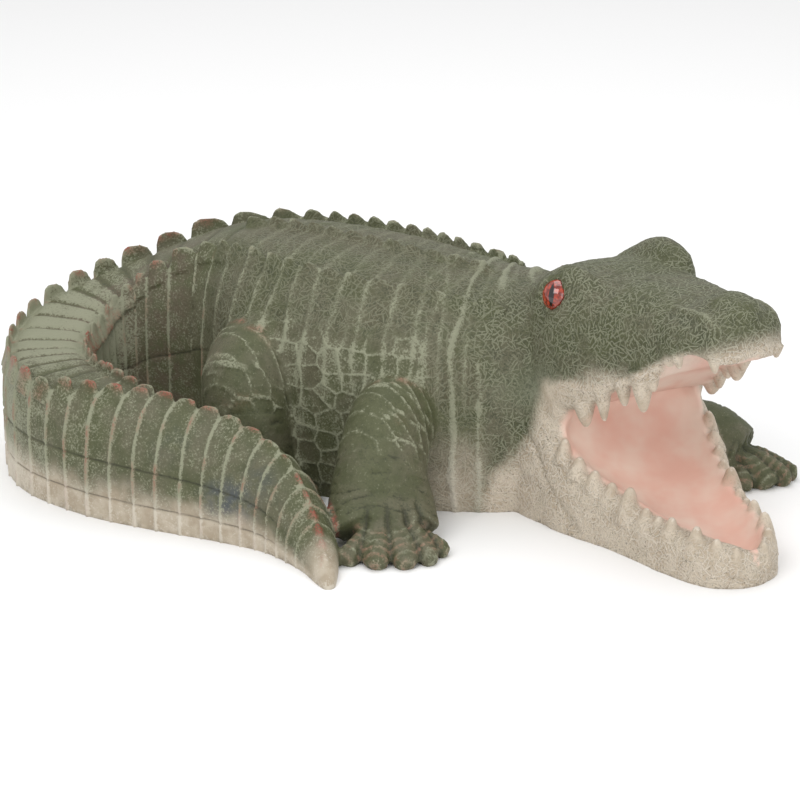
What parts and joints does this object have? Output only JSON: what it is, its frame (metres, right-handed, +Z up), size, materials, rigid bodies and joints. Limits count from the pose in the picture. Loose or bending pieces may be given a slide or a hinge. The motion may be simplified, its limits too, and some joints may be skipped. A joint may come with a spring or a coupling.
{
  "type": "alligator garden statue",
  "caption": "Cast alligator lying flat with its tail curled forward and its head turned, mouth wide open, scutes along back and tail.",
  "frame": {"origin": "middle of the underside's bounding box, on the surface that the statue lies on", "axes": "+X across the statue from the tail's bend to the head's side, +Y away from the side that the open mouth faces, +Z up"},
  "size_m": [0.581, 0.387, 0.1907],
  "materials": {
    "painted_resin": "matt, hand painted in sage green, cream, salmon and brick red with a dark wash",
    "eye_lacquer": "gloss lacquer over brick red paint"
  },
  "bodies": {
    "root": {"alligator": "painted_resin"}
  },
  "joints": []
}
